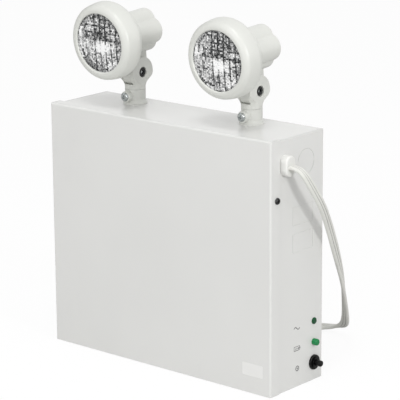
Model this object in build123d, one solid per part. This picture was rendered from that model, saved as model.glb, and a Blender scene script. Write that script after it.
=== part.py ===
from build123d import *
import math
import os

# Self-contained emergency light: a sheet-steel cabinet that stands on its base, with two swivelling lamp
# heads on top, two indicator lamps and a test switch low on the right side, and a flat mains cord that
# leaves the right side near the top.
# Millimetres. The origin is the centre of the cabinet's base. +Z is up, the lamps look along -Y, and the cord
# leaves along +X.

# Cabinet
cabinet_width = 312.0
cabinet_height = 276.0
cabinet_depth = 91.5
sheet = 1.2
bend_radius = 2.0
cover_clearance = 0.4
cover_flange = 15.0
cover_foot_gap = 0.3
wall_front_gap = 1.0
corner_seam = 0.5
cover_corner_notch = 0.9
cover_notch_length = 6.0
lip_height = 9.0
lip_end_gap = 4.0
hook_width = 22.0
hook_offset = 90.0
hook_clearance = 0.4
hook_drop = 6.0
hook_plate = 14.0

# Cover screws
screw_radius = 1.9
screw_head_radius = 3.6
screw_head_height = 2.2
screw_head_round = 1.5
screw_length = 9.0
screw_hole_clearance = 0.2
thread_clearance = 0.05
cover_screw_setback = 10.5
cover_screw_drop = 62.4
cross_slot = 0.9
cross_depth = 1.0
cross_arm = 4.4

# Holes for fixing the cabinet to a wall
wall_hole_radius = 3.3
wall_hole_inset_x = 29.0
wall_hole_inset_z = 36.4

# Knockouts
knockout_slit = 0.5
knockout_tie = 2.0
side_knockout_radius = 14.0
side_knockout_setback = 30.55
side_knockout_drop = 30.0
back_knockout_radius = 11.1
panel_knockout_width = 34.5
panel_knockout_height = 20.5
panel_knockout_setback = 35.55
panel_knockout_drops = (114.9, 85.4)

# Cord outlet
bushing_setback = 25.05
bushing_drop = 27.4
bushing_width = 15.8
bushing_height = 22.4
bushing_reach = 8.7
bushing_round = 2.0
bushing_neck_width = 12.0
bushing_neck_height = 18.0
bushing_clearance = 0.15
bushing_collar = 1.6
bushing_collar_step = 1.2
bushing_tail = 9.0

# Indicator lamps and test switch, in one row near the back of the right side
panel_row_setback = 15.25
ac_lamp_z = 66.4
charge_lamp_z = 43.0
switch_z = 20.0
lamp_lens_radius = 3.7
ac_lamp_reach = 1.9
charge_lamp_reach = 6.0
lamp_lens_round = 1.4
lamp_body_radius = 3.1
lamp_body_length = 16.0
lamp_hole_clearance = 0.1
lamp_clip_radius = 6.0
lamp_clip_thickness = 1.2
switch_bush_radius = 6.0
switch_bush_bore = 3.6
switch_bush_reach = 4.0
switch_nut_radius = 8.2
switch_nut_height = 2.6
switch_nut_round = 0.8
switch_body_width = 16.0
switch_body_height = 18.0
switch_body_length = 24.0
switch_body_wall = 2.0
plunger_radius = 3.35
plunger_reach = 11.2
plunger_round = 1.2
plunger_collar_radius = 4.6
plunger_collar = 1.4
plunger_clearance = 0.25
button_travel = 3.0

# Lamp heads: where they stand on the cabinet, and the post that each one turns on
left_post_inset = 70.0
right_post_inset = 76.0
post_setback = 28.25
post_height = 16.6
post_foot_radius = 13.5
post_foot_edge = 1.4
post_foot_height = 4.6
post_radius = 11.5
post_bore = 7.6
post_bore_floor = 1.6
nipple_radius = 10.2
nipple_length = 13.0
nipple_bore = 7.0
nipple_hole_clearance = 0.2
locknut_radius = 15.0
locknut_height = 3.6
locknut_notches = 8
locknut_notch_radius = 2.0
boss_radius = 6.2
boss_reach = 17.0
boss_height = 9.4
boss_round = 1.0
set_screw_radius = 2.0
set_screw_head_radius = 4.9
set_screw_head_height = 2.2
set_screw_head_round = 1.6

# Swivel fork
swivel_gap = 0.3
spigot_clearance = 0.08
spigot_length = 13.5
spigot_groove_depth = 1.3
spigot_groove_height = 5.4
groove_clearance = 0.4
wire_bore = 4.0
pivot_above_foot = 19.1
cheek_radius = 17.0
cheek_outer = 11.7
cheek_round = 1.0
fork_neck_fillet = 6.0
fork_neck_straight = 3.0
fork_flare_middle = (13.6, 8.4)
fork_flare_end = (18.0, 12.9)
fork_crown_radius = 22.0
tongue_half = 6.2
tongue_clearance = 0.3
tongue_radius = 15.4
tongue_web_half = 13.5
fork_floor_clearance = 0.4
fork_shoulder = 13.5
bolt_radius = 2.5
bolt_clearance = 0.05
bolt_head_radius = 5.1
bolt_head_height = 2.6
bolt_head_chamfer = 0.4
bolt_recess_radius = 5.9
bolt_recess_depth = 3.4
bolt_hex = 4.6
bolt_hex_depth = 1.8
bolt_end_inset = 0.4
nut_width = 8.0
nut_height = 3.0
nut_pocket_depth = 3.3
nut_clearance = 0.1

# Lamp head, measured along its own axis from the front of the bezel
rest_tilt = 4.0
axis_above_pivot = 43.2
front_ahead_of_pivot = 55.2
aperture_radius = 32.4
aperture_edge = 1.6
bezel_front_radius = 34.5
bezel_corner = (39.2, 1.6)
bezel_ridge = (41.6, 5.0)
bezel_side = (42.6, 11.0)
bezel_widest = (43.1, 18.0)
bezel_back = (40.0, 25.5)
bezel_bore = 38.2
lip_depth = 3.0
fit_gap = 0.2
lens_thickness = 2.2
lens_dome = 2.2
reflector_flange = 1.4
reflector_wall = 1.2
reflector_mouth = 34.0
reflector_focus = 9.0
reflector_neck = 8.6
reflector_neck_length = 4.0
housing_wall = 2.2
shoulder_start = 24.0
shoulder_middle = (34.6, 31.6)
shoulder_end = (26.0, 36.4)
core_radius = 19.0
lobe_radius = 14.5
lobe_offset = 9.3
lobe_valley = 2.0
lobe_start = 33.0
housing_length = 79.6
housing_end_round = 3.0
bulb_radius = 7.5
bulb_stem_radius = 4.6
bulb_clearance = 0.1
socket_radius = 10.5
socket_length = 18.0
socket_bore_depth = 12.0

# Battery and its strap
battery_width = 151.0
battery_depth = 65.0
battery_height = 94.0
battery_side_gap = 16.0
battery_back_gap = 0.9
battery_round = 2.0
battery_lid = 9.0
battery_lid_groove = 0.6
terminal_width = 6.35
terminal_thickness = 0.8
terminal_height = 8.0
terminal_inset = 14.0
terminal_setback = 12.0
strap_width = 16.0
strap_thickness = 1.2
strap_height = 58.0
strap_foot = 12.0
strap_gap = 0.2

# Charger board and what stands on it; places are from the board's lower left corner
board_width = 110.0
board_height = 84.0
board_thickness = 1.6
board_side_gap = 19.2
board_drop = 50.4
standoff_radius = 3.5
standoff_height = 8.0
standoff_inset = 6.0
standoff_pin_radius = 1.5
standoff_pin_clearance = 0.1
relay_size = (24.0, 16.0, 19.0)
relay_place = (58.0, 26.0)
terminal_block_size = (58.0, 14.0, 15.0)
terminal_block_place = (55.0, 66.0)
terminal_block_ways = 6
terminal_block_groove = 1.0
capacitor_radius = 8.0
capacitor_length = 26.0
capacitor_place = (82.0, 30.0)
capacitor_round = 1.0

# Transformer
core_width = 66.0
core_height = 55.0
core_stack = 24.0
core_leg = 11.0
core_battery_gap = 16.0
core_setback = 32.55
coil_overhang = 8.0
coil_clearance = 0.2
coil_round = 3.0

# Inner leads: where each one enters the terminal block, from its middle, and where its bends lie
lead_radius = 1.6
mains_lead_radius = 3.2
battery_lead_entries = (-24.0, -14.0)
battery_lead_rises = (12.0, 8.0)
battery_lead_first_bend = (14.0, 12.0, 6.0)
battery_lead_second_bend = (-22.0, -4.0, 10.0)
battery_lead_last_rise = 32.0
mains_lead_entry = 22.0
mains_lead_run = 14.0
mains_lead_bend = (8.0, -20.0, -8.0)
mains_lead_drop = 16.0
head_lead_entries = {"left": -14.0, "right": -2.0}
head_lead_run = 4.0
head_lead_fall = 14.0
head_lead_share = 0.15
head_lead_shift = 2.0
head_lead_drops = (24.0, 14.0)

# Flat mains cord; its own solids are plain round tubes of the same section area. The hanging points lie to
# the side of its outlet and behind it, at a share of the outlet's height. The landing and the tail are set
# out from the middle of the wound-up length.
cord_width = 10.5
cord_tube_radius = 3.7
cord_exit_drop = 0.7
cord_hanging = [
    (0.0, 0.0, 1.0),
    (8.4, 0.0, 1.0),
    (14.9, 3.7, 0.9704),
    (17.9, 13.2, 0.9074),
    (17.9, 29.7, 0.8201),
    (12.4, 51.7, 0.7065),
    (0.4, 81.7, 0.5501),
    (-18.6, 115.7, 0.3857),
]
cord_landing = [
    (143.0, 7.0, 54.5),
    (126.0, 32.0, 28.0),
    (112.5, 47.0, 12.5),
    (95.5, 51.5, 6.0),
    (80.0, 45.5, 5.2),
    (71.9, 31.0, 5.6),
    (71.4, 15.0, 6.3),
    (71.9, 0.0, 6.3),
]
wound_inset_x = 174.4
wound_behind = 2.25
wound_outer_radius = 74.0
wound_inner_radius = 56.0
wound_round = 2.0
tie_width = 8.0
tie_thickness = 0.8
tie_clearance = 0.2
tail_route = [
    (58.0, 4.0, 6.3),
    (54.8, -13.7, 6.3),
    (42.2, -32.9, 6.3),
    (24.4, -45.9, 6.3),
    (5.4, -51.2, 6.6),
    (-7.5, -50.5, 7.8),
    (-18.7, -44.0, 9.6),
    (-25.7, -33.2, 11.1),
    (-27.1, -20.4, 11.1),
]
plug_nose = (12.0, 8.5)
plug_nose_length = 10.0
plug_width = 27.0
plug_thickness = 22.0
plug_length = 26.0
plug_round = 5.0
blade_width = 6.35
blade_thickness = 1.5
blade_length = 17.0
blade_spacing = 12.7
blade_rise = 4.0
ground_radius = 2.4
ground_length = 20.0
ground_drop = 7.9

# Worked out from the sizes above
front = -cabinet_depth / 2
back = cabinet_depth / 2
body_half = cabinet_width / 2 - sheet - cover_clearance
body_top = cabinet_height - sheet - cover_clearance
middle_height = cabinet_height / 2
wall_front = front + sheet + wall_front_gap
inner_back = back - sheet
inner_side = body_half - sheet
cover_screw_height = body_top - cover_screw_drop
wall_hole_spacing_x = cabinet_width - 2 * wall_hole_inset_x
wall_hole_spacing_z = cabinet_height - 2 * wall_hole_inset_z
side_knockout_y = back - side_knockout_setback
side_knockout_z = body_top - side_knockout_drop
panel_knockout_y = back - panel_knockout_setback
bushing_y = front + bushing_setback
bushing_z = body_top - bushing_drop
panel_row_y = back - panel_row_setback
post_places = {"left": left_post_inset - cabinet_width / 2, "right": cabinet_width / 2 - right_post_inset}
post_y = back - post_setback
pivot_z = body_top + post_height + swivel_gap + pivot_above_foot
spigot_radius = post_bore - spigot_clearance
groove_radius = spigot_radius - spigot_groove_depth
fit_radius = bezel_bore - fit_gap
lens_back = lip_depth + lens_thickness
flange_back = lens_back + reflector_flange
reflector_depth = reflector_mouth**2 / (4 * reflector_focus)
focus_depth = lens_back + reflector_depth - reflector_focus
neck_start = lens_back + (reflector_mouth**2 - reflector_neck**2) / (4 * reflector_focus)
neck_end = neck_start + reflector_neck_length
board_face = inner_back - standoff_height - board_thickness
board_left = inner_side - board_side_gap - board_width
board_bottom = body_top - board_drop - board_height
battery_left = battery_side_gap - inner_side
battery_back = inner_back - battery_back_gap
battery_front = battery_back - battery_depth
battery_right = battery_left + battery_width
battery_top = sheet + battery_height
core_left = battery_right + core_battery_gap
core_front = inner_back - core_setback - core_stack
core_middle_x = core_left + core_width / 2
core_middle_y = core_front + core_stack / 2
wound_bottom = tie_thickness + tie_clearance
wound_x = body_half - wound_inset_x
wound_y = back + wound_behind + wound_outer_radius
cord_exit = (body_half + bushing_reach, bushing_y, bushing_z - cord_exit_drop)
block_x = board_left + terminal_block_place[0]
block_z = board_bottom + terminal_block_place[1]
block_lead_y = board_face - terminal_block_size[2] / 2


def block(x, y, z):
    """A box between two values along each axis."""
    size = (x[1] - x[0], y[1] - y[0], z[1] - z[0])
    return Pos(sum(x) / 2, sum(y) / 2, sum(z) / 2) * Box(*size)


def around(centre, size):
    """The two ends of a span of that size about its centre."""
    return (centre - size / 2, centre + size / 2)


def rod(start, direction, radius, length):
    """A cylinder that starts at a point and runs along a direction."""
    place = Plane(origin=start, z_dir=direction).location
    return place * Pos(0, 0, length / 2) * Cylinder(radius, length)


def rz(*points):
    """Points of a turned outline, from radius and height."""
    return [(r, 0, z) for r, z in points]


def turned(outline):
    """A solid turned about Z from a closed outline."""
    return revolve(make_face(outline), Axis.Z)


def turned_lines(*points):
    """A solid turned about Z from corners joined by straight lines."""
    return turned(Polyline(*rz(*points), close=True))


def round_top(solid, radius):
    """The solid with its highest round edge rounded."""
    return fillet(solid.edges().filter_by(GeomType.CIRCLE).sort_by(Axis.Z)[-1], radius)


def pan_screw(head_radius, head_height, head_round, shank_radius, length):
    """A cross-recessed screw that points down, with the underside of its head at the origin."""
    head = round_top(Pos(0, 0, head_height / 2) * Cylinder(head_radius, head_height), head_round)
    cross = Box(cross_arm, cross_slot, 2 * cross_depth) + Box(cross_slot, cross_arm, 2 * cross_depth)
    shank = Pos(0, 0, -length / 2) * Cylinder(shank_radius, length)
    return head - Pos(0, 0, head_height) * cross + shank


def tube(points, radius):
    """A round tube along straight runs joined by tangent arcs, its path, and each arc's radius."""
    spots = [Vector(*p) for p in points]
    radii = []
    for before, at, after in zip(spots, spots[1:], spots[2:]):
        turn = math.radians((at - before).get_angle(after - at))
        shorter = min((at - before).length, (after - at).length)
        radii.append(0.45 * shorter / math.tan(turn / 2))
    path = FilletPolyline(*spots, radius=radii)
    section = Plane(origin=path @ 0, z_dir=path % 0) * Circle(radius)
    return sweep(section, path=path), path, radii


def right_wall(y, z):
    """A place on the outside of the right wall, looking outwards, with +Y to its right."""
    return Plane(origin=(body_half, y, z), x_dir=(0, 1, 0), z_dir=(1, 0, 0))


def knockout_ring(place, radius):
    """The round slit of a knockout through one wall, broken by two ties."""
    deep = 3 * sheet
    ring = Cylinder(radius, deep) - Cylinder(radius - knockout_slit, deep)
    return place.location * (ring - Box(2 * radius + knockout_tie, knockout_tie, deep))


def knockout_frame(place, width, height):
    """The slit round a rectangular knockout, broken by a tie in each long side."""
    deep = 3 * sheet
    ring = Box(width, height, deep) - Box(width - 2 * knockout_slit, height - 2 * knockout_slit, deep)
    return place.location * (ring - Box(knockout_tie, height + knockout_tie, deep))


def fold_edges(solid, y, lowest):
    """The long edges at one depth, along X or Z, that lie higher than a level."""
    found = []
    for edge in solid.edges().filter_by(GeomType.LINE):
        along_y = abs((edge @ 1 - edge @ 0).Y) > 1e-6
        if abs(edge.center().Y - y) < 1e-6 and not along_y and edge.center().Z > lowest:
            found.append(edge)
    return ShapeList(found)


def folded_box(half_width, y, z, fold_y, lowest, radius):
    """A box as wide as given on both sides of the middle, with the folds at one depth rounded."""
    solid = block((-half_width, half_width), y, z)
    return fillet(fold_edges(solid, fold_y, lowest), radius)


def make_body_pan():
    """Back and four walls folded from one sheet, with open corner seams and an upturned lip at the bottom."""
    pan = folded_box(body_half, (wall_front, back), (0, body_top), back, -1, bend_radius)
    inside_y = (wall_front - sheet, inner_back)
    inside_z = (sheet, body_top - sheet)
    pan -= folded_box(inner_side, inside_y, inside_z, inner_back, -1, bend_radius - sheet)
    seam_y = (wall_front - sheet, back - bend_radius)
    for side in (-1, 1):
        seam_x = sorted((side * inner_side, side * (inner_side - corner_seam)))
        pan -= block(seam_x, seam_y, around(body_top - sheet / 2, 2 * sheet))
        pan -= block(seam_x, seam_y, around(sheet / 2, 2 * sheet))
    pan += block(
        (lip_end_gap - body_half, body_half - lip_end_gap), (wall_front, wall_front + sheet), (0, lip_height)
    )
    for post_x in post_places.values():
        pan -= Pos(post_x, post_y, body_top) * Cylinder(nipple_radius + nipple_hole_clearance, 4 * sheet)
    pan -= knockout_ring(right_wall(side_knockout_y, side_knockout_z), side_knockout_radius)
    for drop in panel_knockout_drops:
        place = right_wall(panel_knockout_y, body_top - drop)
        pan -= knockout_frame(place, panel_knockout_width, panel_knockout_height)
    slack = 2 * bushing_clearance
    outlet = bushing_oblong(bushing_neck_width + slack, bushing_neck_height + slack)
    pan -= extrude(outlet, amount=2 * sheet, both=True)
    for level, radius in (
        (ac_lamp_z, lamp_body_radius),
        (charge_lamp_z, lamp_body_radius),
        (switch_z, switch_bush_radius),
    ):
        pan -= right_wall(panel_row_y, level).location * Cylinder(radius + lamp_hole_clearance, 4 * sheet)
    for side in (-1, 1):
        screw_start = (side * (body_half + sheet), front + cover_screw_setback, cover_screw_height)
        pan -= rod(screw_start, (-side, 0, 0), screw_radius + thread_clearance, 4 * sheet)
        for level in around(middle_height, wall_hole_spacing_z):
            hole_start = (side * wall_hole_spacing_x / 2, back + sheet, level)
            pan -= rod(hole_start, (0, -1, 0), wall_hole_radius, 4 * sheet)
    pan -= knockout_ring(Plane(origin=(0, back, middle_height), z_dir=(0, 1, 0)), back_knockout_radius)
    return pan


def make_front_cover():
    """Front panel with side and top flanges that lap the walls, and two hooks that grip the bottom lip."""
    flange_end = front + cover_flange
    half = cabinet_width / 2
    inner_front = front + sheet
    cover = folded_box(half, (front, flange_end), (cover_foot_gap, cabinet_height), front, sheet, bend_radius)
    inside_y = (inner_front, flange_end + sheet)
    inside_z = (-sheet, cabinet_height - sheet)
    cover -= folded_box(half - sheet, inside_y, inside_z, inner_front, 0, bend_radius - sheet)
    notch_start = front + bend_radius - sheet / 2
    for side in (-1, 1):
        seam_x = sorted((side * (half - sheet), side * (half - sheet - corner_seam)))
        cover -= block(seam_x, (notch_start, flange_end + sheet), around(cabinet_height, 3 * sheet))
        notch_x = sorted((side * (half - sheet), side * (half - sheet - cover_corner_notch)))
        notch_y = (notch_start, notch_start + cover_notch_length)
        cover -= block(notch_x, notch_y, around(cabinet_height, 3 * sheet))
        screw_start = (side * (half + sheet), front + cover_screw_setback, cover_screw_height)
        cover -= rod(screw_start, (-side, 0, 0), screw_radius + screw_hole_clearance, 3 * sheet)
    lip_back = wall_front + sheet + hook_clearance
    web = lip_height + hook_clearance
    profile = Polyline(
        (0, inner_front, web),
        (0, inner_front, web + hook_plate),
        (0, inner_front + sheet, web + hook_plate),
        (0, inner_front + sheet, web + sheet),
        (0, lip_back + sheet, web + sheet),
        (0, lip_back + sheet, lip_height - hook_drop),
        (0, lip_back, lip_height - hook_drop),
        (0, lip_back, web),
        close=True,
    )
    hook = extrude(make_face(profile), amount=hook_width / 2, both=True)
    for side in (-1, 1):
        cover += Pos(side * hook_offset, 0, 0) * hook
    return cover


def make_cover_screws():
    """The two screws that go through the side flanges into the walls."""
    screw = pan_screw(screw_head_radius, screw_head_height, screw_head_round, screw_radius, screw_length)
    screws = []
    for side in (-1, 1):
        spot = (side * cabinet_width / 2, front + cover_screw_setback, cover_screw_height)
        screws.append(Plane(origin=spot, z_dir=(side, 0, 0)).location * screw)
    return Compound(screws)


def bushing_oblong(width, height):
    """An upright oblong on the right wall, where the cord goes through."""
    return right_wall(bushing_y, bushing_z) * SlotOverall(height, width, rotation=90)


def make_cord_bushing():
    """Snap-in strain relief: an oblong head, a neck through the wall, and a snap ridge and a tail behind."""
    head = extrude(bushing_oblong(bushing_width, bushing_height), amount=bushing_reach)
    head = fillet(head.faces().sort_by(Axis.X)[-1].edges(), bushing_round)
    neck = bushing_oblong(bushing_neck_width, bushing_neck_height)
    ridge_width = bushing_neck_width + bushing_collar_step
    ridge_height = bushing_neck_height + bushing_collar_step
    ridge = extrude(bushing_oblong(ridge_width, ridge_height), amount=-bushing_collar)
    return head + extrude(neck, amount=-(sheet + bushing_collar + bushing_tail)) + Pos(-sheet, 0, 0) * ridge


def make_lamp(level, reach):
    """An indicator lamp: a round lens outside and a slim body through the wall."""
    lens = round_top(Pos(0, 0, reach / 2) * Cylinder(lamp_lens_radius, reach), lamp_lens_round)
    body = Pos(0, 0, -lamp_body_length / 2) * Cylinder(lamp_body_radius, lamp_body_length)
    return right_wall(panel_row_y, level).location * (lens + body)


def make_lamp_clips():
    """The spring rings that hold both lamps from inside."""
    ring = Cylinder(lamp_clip_radius, lamp_clip_thickness) - Cylinder(lamp_body_radius, lamp_clip_thickness)
    ring = Pos(0, 0, -sheet - lamp_clip_thickness / 2) * ring
    return Compound([right_wall(panel_row_y, level).location * ring for level in (ac_lamp_z, charge_lamp_z)])


def make_switch():
    """The switch: body and threaded bush, the nut outside, and the plunger with its collar."""
    place = right_wall(panel_row_y, switch_z).location
    roof = -sheet - switch_body_wall
    room = plunger_clearance + plunger_collar + button_travel + plunger_clearance
    body = Box(switch_body_width, switch_body_height, switch_body_length)
    body = Pos(0, 0, -sheet - switch_body_length / 2) * body
    body += rod((0, 0, -sheet), (0, 0, 1), switch_bush_radius, sheet + switch_bush_reach)
    body -= rod((0, 0, roof - room), (0, 0, 1), plunger_collar_radius + plunger_clearance, room)
    body -= rod((0, 0, roof), (0, 0, 1), switch_bush_bore, switch_bush_reach - roof)
    nut = round_top(rod((0, 0, 0), (0, 0, 1), switch_nut_radius, switch_nut_height), switch_nut_round)
    nut -= rod((0, 0, 0), (0, 0, 1), switch_bush_radius + thread_clearance, switch_nut_height)
    collar_top = roof - plunger_clearance
    button = rod((0, 0, collar_top - plunger_collar), (0, 0, 1), plunger_collar_radius, plunger_collar)
    shaft_foot = collar_top - plunger_collar / 2
    shaft = rod((0, 0, shaft_foot), (0, 0, 1), plunger_radius, plunger_reach - shaft_foot)
    button += round_top(shaft, plunger_round)
    return place * body, place * nut, place * button


def make_head_post():
    """Foot, neck and threaded nipple in one turning, with the boss that takes the set screw."""
    post = turned_lines(
        (0, -nipple_length),
        (nipple_radius, -nipple_length),
        (nipple_radius, 0),
        (post_foot_radius, 0),
        (post_foot_radius, post_foot_edge),
        (post_radius, post_foot_height),
        (post_radius, post_height),
        (0, post_height),
    )
    boss = round_top(Pos(0, 0, boss_reach / 2) * Cylinder(boss_radius, boss_reach), boss_round)
    post += Plane(origin=(0, 0, boss_height), z_dir=(0, -1, 0)).location * boss
    post -= rod((0, 0, -nipple_length), (0, 0, 1), nipple_bore, nipple_length + post_bore_floor)
    post -= rod((0, 0, post_bore_floor), (0, 0, 1), post_bore, post_height)
    post -= rod((0, 0, boss_height), (0, -1, 0), set_screw_radius + thread_clearance, boss_reach + boss_round)
    return post


def make_post_locknut():
    """Notched ring nut on the nipple, under the top of the cabinet."""
    nut = rod((0, 0, -sheet), (0, 0, -1), locknut_radius, locknut_height)
    nut -= rod((0, 0, -sheet), (0, 0, -1), nipple_radius + thread_clearance, locknut_height)
    for turn in range(locknut_notches):
        notch = Cylinder(locknut_notch_radius, locknut_height)
        notch = Pos(locknut_radius, 0, -sheet - locknut_height / 2) * notch
        nut -= Rot(0, 0, (turn + 0.5) * 360 / locknut_notches) * notch
    return nut


def make_set_screw():
    """Screw in the boss whose tip runs in the spigot's groove, so the head turns but can't be pulled out."""
    length = boss_reach - groove_radius - groove_clearance
    head = (set_screw_head_radius, set_screw_head_height, set_screw_head_round)
    place = Plane(origin=(0, -boss_reach, boss_height), z_dir=(0, -1, 0)).location
    return place * pan_screw(*head, set_screw_radius, length)


def make_swivel():
    """Fork with a grooved spigot below. Its origin is where the tilt axis crosses the post's axis."""
    foot = -pivot_above_foot
    side = Circle(cheek_radius) + Pos(0, foot) * Rectangle(2 * post_radius, 2 * pivot_above_foot)
    side = fillet(side.vertices().sort_by(Axis.Y)[2:4], fork_neck_fillet)
    fork = extrude(Plane.YZ * side, amount=cheek_outer, both=True)
    ends = fork.faces().sort_by(Axis.X)
    fork = fillet(ends[0].edges() + ends[-1].edges(), cheek_round)
    flare_start = (post_radius, foot + fork_neck_straight)
    flare_middle = (fork_flare_middle[0], foot + fork_flare_middle[1])
    flare_end = (fork_flare_end[0], foot + fork_flare_end[1])
    outline = Polyline(*rz((0, foot), (post_radius, foot), flare_start))
    outline += ThreePointArc(*rz(flare_start, flare_middle, flare_end))
    crown = fork_crown_radius
    outline += Polyline(*rz(flare_end, (crown, 0), (crown, cheek_radius), (0, cheek_radius), (0, foot)))
    fork &= turned(outline)
    slot_half = tongue_half + tongue_clearance
    fork -= block((-slot_half, slot_half), (-crown, crown), (-fork_shoulder, cheek_radius))
    fork -= rod((-slot_half, 0, 0), (1, 0, 0), tongue_radius + fork_floor_clearance, 2 * slot_half)
    spigot = rod((0, 0, foot), (0, 0, -1), spigot_radius, spigot_length)
    groove = Cylinder(post_bore, spigot_groove_height) - Cylinder(groove_radius, spigot_groove_height)
    fork += spigot - Pos(0, 0, body_top + boss_height - pivot_z) * groove
    fork -= rod((0, 0, foot - spigot_length), (0, 0, 1), wire_bore, spigot_length + pivot_above_foot)
    fork -= rod((-cheek_outer, 0, 0), (1, 0, 0), bolt_radius + bolt_clearance, 2 * cheek_outer)
    fork -= rod((cheek_outer, 0, 0), (-1, 0, 0), bolt_recess_radius, bolt_recess_depth)
    fork -= hexagon(-cheek_outer, nut_width + 2 * nut_clearance, nut_pocket_depth)
    return fork


def hexagon(x, width, length):
    """A hexagonal prism along +X from x, as wide as given across its flats."""
    return extrude(Plane.YZ.offset(x) * RegularPolygon(width / 2, 6, major_radius=False), amount=length)


def make_pivot_bolt():
    """Socket-head bolt through both cheeks, sunk in the right one."""
    seat = cheek_outer - bolt_recess_depth
    head = rod((seat, 0, 0), (1, 0, 0), bolt_head_radius, bolt_head_height)
    head = chamfer(head.edges().filter_by(GeomType.CIRCLE).sort_by(Axis.X)[-1], bolt_head_chamfer)
    head -= hexagon(seat + bolt_head_height - bolt_hex_depth, bolt_hex, bolt_hex_depth)
    return head + rod((seat, 0, 0), (-1, 0, 0), bolt_radius, seat + cheek_outer - bolt_end_inset)


def make_pivot_nut():
    """Hexagon nut in the left cheek's pocket."""
    seat = nut_pocket_depth - cheek_outer
    nut = hexagon(seat - nut_height, nut_width, nut_height)
    return nut - rod((seat, 0, 0), (-1, 0, 0), bolt_radius + thread_clearance, nut_height)


def make_bezel():
    """Front ring and barrel in one moulding, turned about the lamp's axis."""
    inner_edge = (aperture_radius, aperture_edge)
    outline = ThreePointArc(*rz((bezel_front_radius, 0), bezel_corner, bezel_ridge))
    outline += ThreePointArc(*rz(bezel_ridge, bezel_side, bezel_widest))
    outline += TangentArc(*rz(bezel_widest, bezel_back), tangent=(0, 0, 1))
    bore_back = (bezel_bore, bezel_back[1])
    outline += Polyline(
        *rz(bezel_back, bore_back, (bezel_bore, lip_depth), (aperture_radius, lip_depth), inner_edge)
    )
    outline += TangentArc(*rz(inner_edge, (bezel_front_radius, 0)), tangent=(0, 0, -1))
    return turned(outline)


def make_lens():
    """Clear disc with a gently domed middle, held between the bezel's lip and the reflector."""
    dome_edge = aperture_radius - fit_gap
    front_top = (0, lip_depth - lens_dome)
    back_top = (0, lens_back - lens_dome)
    rim = [(dome_edge, lip_depth), (fit_radius, lip_depth), (fit_radius, lens_back), (dome_edge, lens_back)]
    outline = TangentArc(*rz(front_top, rim[0]), tangent=(1, 0, 0)) + Polyline(*rz(*rim))
    outline += TangentArc(*rz(back_top, rim[3]), tangent=(1, 0, 0)) + Line(*rz(back_top, front_top))
    return turned(outline)


def dish_point(radius, offset):
    """A point on the reflector's parabola, moved outwards by the offset at a right angle to it."""
    slope = radius / (2 * reflector_focus)
    stretch = offset / math.hypot(slope, 1)
    depth = lens_back + (reflector_mouth**2 - radius**2) / (4 * reflector_focus)
    return (radius + stretch * slope, depth + stretch)


def make_reflector():
    """Parabolic dish with its focus at the lamp, a flange under the lens and a short neck for the socket."""
    steps = 5
    radii = [reflector_mouth + (reflector_neck - reflector_mouth) * n / steps for n in range(steps + 1)]
    inside = [dish_point(radius, 0) for radius in radii]
    outside = [dish_point(radius, reflector_wall) for radius in radii]
    outline = Spline(*rz(*inside)) + Line(*rz(inside[-1], outside[-1]))
    outline += Spline(*rz(*outside)) + Line(*rz(outside[0], inside[0]))
    dish = turned(outline)
    dish += turned_lines(
        (reflector_mouth, lens_back),
        (fit_radius, lens_back),
        (fit_radius, flange_back),
        (reflector_mouth, flange_back),
    )
    neck_outer = reflector_neck + reflector_wall
    return dish + turned_lines(
        (reflector_neck, neck_start),
        (neck_outer, neck_start),
        (neck_outer, neck_end),
        (reflector_neck, neck_end),
    )


def make_lamp_bulb():
    """Filament lamp with its round glass at the reflector's focus and its cap in the socket."""
    neck_z = focus_depth + math.sqrt(bulb_radius**2 - bulb_stem_radius**2)
    foot_z = neck_end + socket_bore_depth
    tip = (0, focus_depth - bulb_radius)
    outline = ThreePointArc(*rz(tip, (bulb_radius, focus_depth), (bulb_stem_radius, neck_z)))
    outline += Polyline(*rz((bulb_stem_radius, neck_z), (bulb_stem_radius, foot_z), (0, foot_z), tip))
    return turned(outline)


def make_lamp_socket():
    """Socket against the reflector's neck."""
    bore = bulb_stem_radius + bulb_clearance
    return turned_lines(
        (bore, neck_end),
        (socket_radius, neck_end),
        (socket_radius, neck_end + socket_length),
        (0, neck_end + socket_length),
        (0, neck_end + socket_bore_depth),
        (bore, neck_end + socket_bore_depth),
    )


def housing_round(inset, start, end):
    """The rear housing's turned form, drawn in by an inset."""
    rim = fit_radius - inset
    core = core_radius - inset
    middle = (shoulder_middle[0] - inset, shoulder_middle[1] - inset)
    foot = (shoulder_end[0] - inset, shoulder_end[1] - inset)
    outline = Polyline(*rz((0, start), (rim, start), (rim, shoulder_start)))
    outline += ThreePointArc(*rz((rim, shoulder_start), middle, foot))
    outline += Polyline(*rz(foot, (core, foot[1]), (core, end), (0, end), (0, start)))
    return turned(outline)


def make_rear_housing():
    """Moulded shell: a dish that fits in the bezel, a lobed barrel behind it, and the fork's tongue below."""
    barrel = Circle(core_radius)
    for turn in (0, 90, 180, 270):
        barrel += Rot(0, 0, turn) * Pos(lobe_offset, 0) * Circle(lobe_radius)
    barrel = fillet(barrel.vertices(), lobe_valley)
    barrel = Pos(0, 0, lobe_start) * extrude(barrel, amount=housing_length - lobe_start)
    barrel = fillet(barrel.faces().sort_by(Axis.Z)[-1].edges(), housing_end_round)
    shell = head_axis * (housing_round(0, flange_back, housing_length - housing_end_round) + barrel)
    root = axis_above_pivot - core_radius + housing_wall / 2
    tongue = rod((-tongue_half, 0, 0), (1, 0, 0), tongue_radius, 2 * tongue_half)
    tongue += block((-tongue_half, tongue_half), (-tongue_web_half, tongue_web_half), (0, root))
    tongue -= rod((-tongue_half, 0, 0), (1, 0, 0), bolt_radius + bolt_clearance, 2 * tongue_half)
    hollow = housing_round(housing_wall, flange_back, housing_length - housing_wall)
    return shell + tongue - head_axis * hollow


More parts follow.
